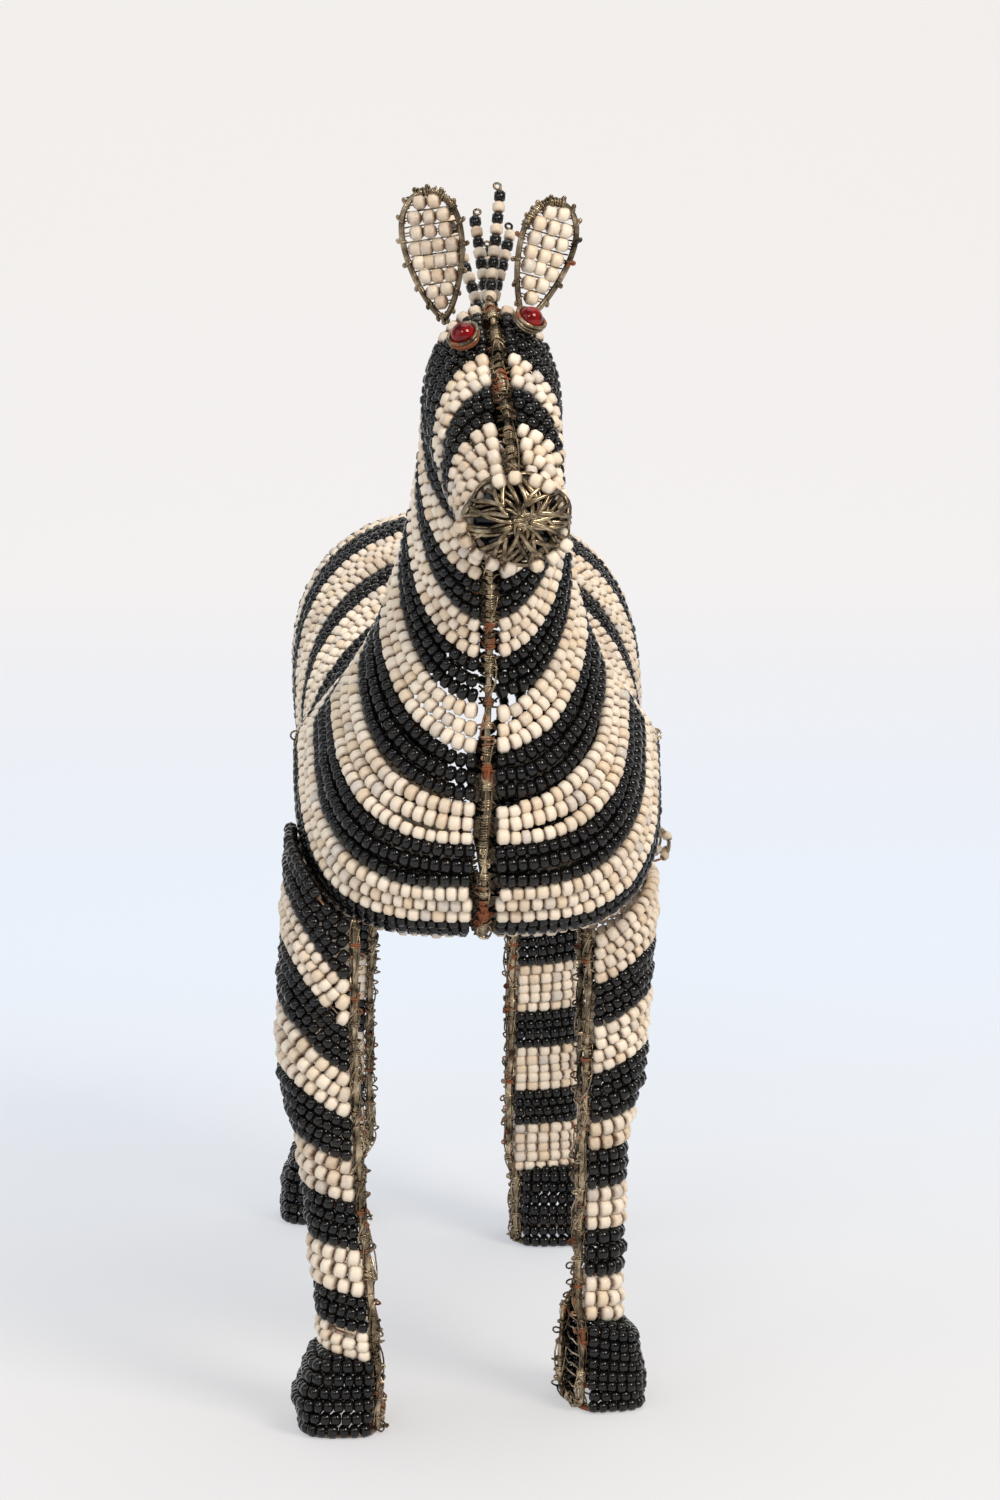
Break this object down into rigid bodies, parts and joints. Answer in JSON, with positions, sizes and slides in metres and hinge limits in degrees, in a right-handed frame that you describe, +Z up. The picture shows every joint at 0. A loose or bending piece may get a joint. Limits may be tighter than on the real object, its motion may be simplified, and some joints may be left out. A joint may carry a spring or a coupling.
{
  "type": "zebra figurine",
  "caption": "Standing zebra figurine of black and cream beads strung round a hollow wire frame, with leaf-shaped ears, upright mane pins, red glass eyes and a curved tail.",
  "frame": {"origin": "centre of the footprint of the whole figure, on the surface that the hoofs stand on", "axes": "-Y the way the zebra faces, +X to the right of a person who looks at its face, +Z up"},
  "size_m": [0.0886, 0.2368, 0.2343],
  "materials": {
    "cream_beads": "opaque cream glass beads, softly glossy, with brown grime between them",
    "black_beads": "opaque black glass beads, glossy",
    "red_glass": "deep red glossy glass",
    "frame_wire": "aged grey-brown wire with spots of orange rust"
  },
  "bodies": {
    "root": {"barrel_stripe_01_cream": "cream_beads", "barrel_stripe_02_black": "black_beads", "barrel_stripe_03_cream": "cream_beads", "barrel_stripe_04_black": "black_beads", "barrel_stripe_05_cream": "cream_beads", "barrel_stripe_06_black": "black_beads", "barrel_stripe_07_cream": "cream_beads", "barrel_stripe_08_black": "black_beads", "barrel_stripe_09_cream": "cream_beads", "barrel_stripe_10_black": "black_beads", "barrel_stripe_11_cream": "cream_beads", "barrel_stripe_12_black": "black_beads", "barrel_stripe_13_cream": "cream_beads", "barrel_stripe_14_black": "black_beads", "chest_and_belly_wire": "frame_wire", "crest_and_spine_wire": "frame_wire", "face_stripe_01_cream": "cream_beads", "face_stripe_02_black": "black_beads", "face_stripe_03_cream": "cream_beads", "face_stripe_04_black": "black_beads", "face_stripe_05_cream": "cream_beads", "front_left_hoof": "black_beads", "front_left_leg_skin": "black_beads", "front_left_leg_wire": "frame_wire", "front_right_hoof": "black_beads", "front_right_leg_skin": "black_beads", "front_right_leg_wire": "frame_wire", "hind_left_hoof": "black_beads", "hind_left_leg_skin": "cream_beads", "hind_left_leg_wire": "frame_wire", "hind_right_hoof": "black_beads", "hind_right_leg_skin": "cream_beads", "hind_right_leg_wire": "frame_wire", "left_ear_beads": "cream_beads", "left_ear_wire": "frame_wire", "left_eye_bead": "red_glass", "left_eye_ring": "frame_wire", "mane": "cream_beads", "neck_stripe_01_black": "black_beads", "neck_stripe_02_cream": "cream_beads", "neck_stripe_03_black": "black_beads", "neck_stripe_04_cream": "cream_beads", "neck_stripe_05_black": "black_beads", "neck_stripe_06_cream": "cream_beads", "neck_stripe_07_black": "black_beads", "neck_stripe_08_cream": "cream_beads", "neck_stripe_09_black": "black_beads", "neck_stripe_10_cream": "cream_beads", "neck_stripe_11_black": "black_beads", "nose_wire_knot": "frame_wire", "right_ear_beads": "cream_beads", "right_ear_wire": "frame_wire", "right_eye_bead": "red_glass", "right_eye_ring": "frame_wire", "tail": "cream_beads"}
  },
  "joints": []
}
